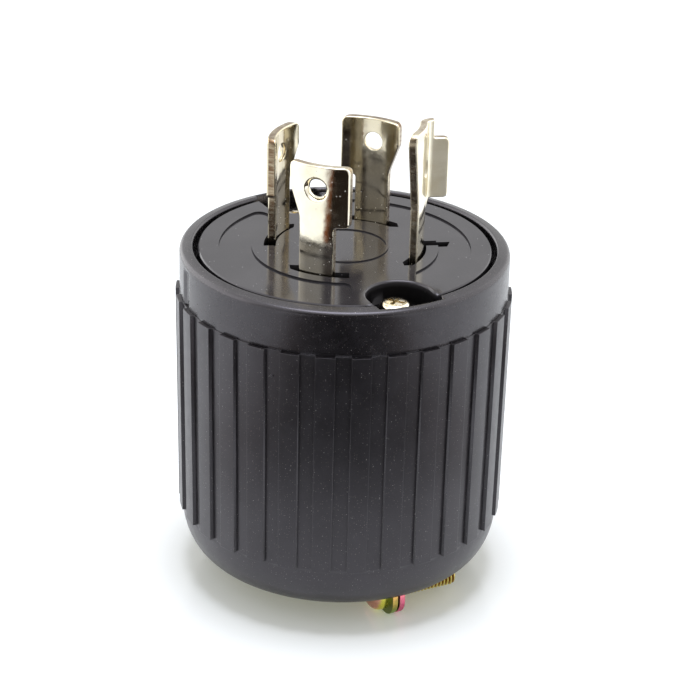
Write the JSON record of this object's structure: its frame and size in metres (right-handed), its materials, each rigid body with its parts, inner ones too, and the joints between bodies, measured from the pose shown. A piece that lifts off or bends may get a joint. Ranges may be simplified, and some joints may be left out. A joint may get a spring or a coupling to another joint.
{
  "type": "locking power plug",
  "caption": "Round locking mains plug with curved twist-lock blades on its face, a ribbed black body and a screwed cord clamp underneath, standing on the clamp",
  "frame": {"origin": "on the plug's axis, at the surface that the cord clamp stands on", "axes": "+Z runs along the plug's axis with the blades up; the two assembly screws lie on the Y axis; the clamp screws run along X, turned by two degrees"},
  "size_m": [0.059, 0.059, 0.0853],
  "materials": {
    "face_plastic": "smooth satin moulded nylon",
    "body_plastic": "fine-grained moulded nylon",
    "carrier_plastic": "moulded nylon",
    "fibre_board": "hard insulating board",
    "grommet_rubber": "soft rubber",
    "blade_plating": "nickel-plated brass, polished",
    "cage_brass": "plain brass",
    "plate_steel": "zinc-plated steel",
    "line_screw_brass": "brass",
    "neutral_screw_plating": "bright plated steel",
    "ground_screw_green": "green-coated steel",
    "assembly_screw_steel": "bright nickel-plated steel",
    "insert_brass": "knurled brass",
    "clamp_zinc": "yellow zinc-plated steel",
    "clamp_screw_zinc": "yellow zinc-plated steel"
  },
  "bodies": {
    "root": {"face_plate": "face_plastic", "front_collar": "body_plastic", "rear_housing": "body_plastic", "terminal_carrier": "carrier_plastic", "insulating_disc": "fibre_board", "cord_grommet": "grommet_rubber", "line_blade_x": "blade_plating", "line_blade_y": "blade_plating", "neutral_blade": "blade_plating", "ground_blade": "blade_plating", "terminal_cage_x": "cage_brass", "terminal_cage_y": "cage_brass", "terminal_cage_neutral": "cage_brass", "terminal_cage_ground": "cage_brass", "pressure_plate_x": "plate_steel", "pressure_plate_y": "plate_steel", "pressure_plate_neutral": "plate_steel", "pressure_plate_ground": "plate_steel", "line_terminal_screws": "line_screw_brass", "neutral_terminal_screw": "neutral_screw_plating", "ground_terminal_screw": "ground_screw_green", "assembly_screws": "assembly_screw_steel", "threaded_inserts": "insert_brass", "cord_clamp_left": "clamp_zinc", "cord_clamp_right": "clamp_zinc", "clamp_screws": "clamp_screw_zinc"}
  },
  "joints": []
}
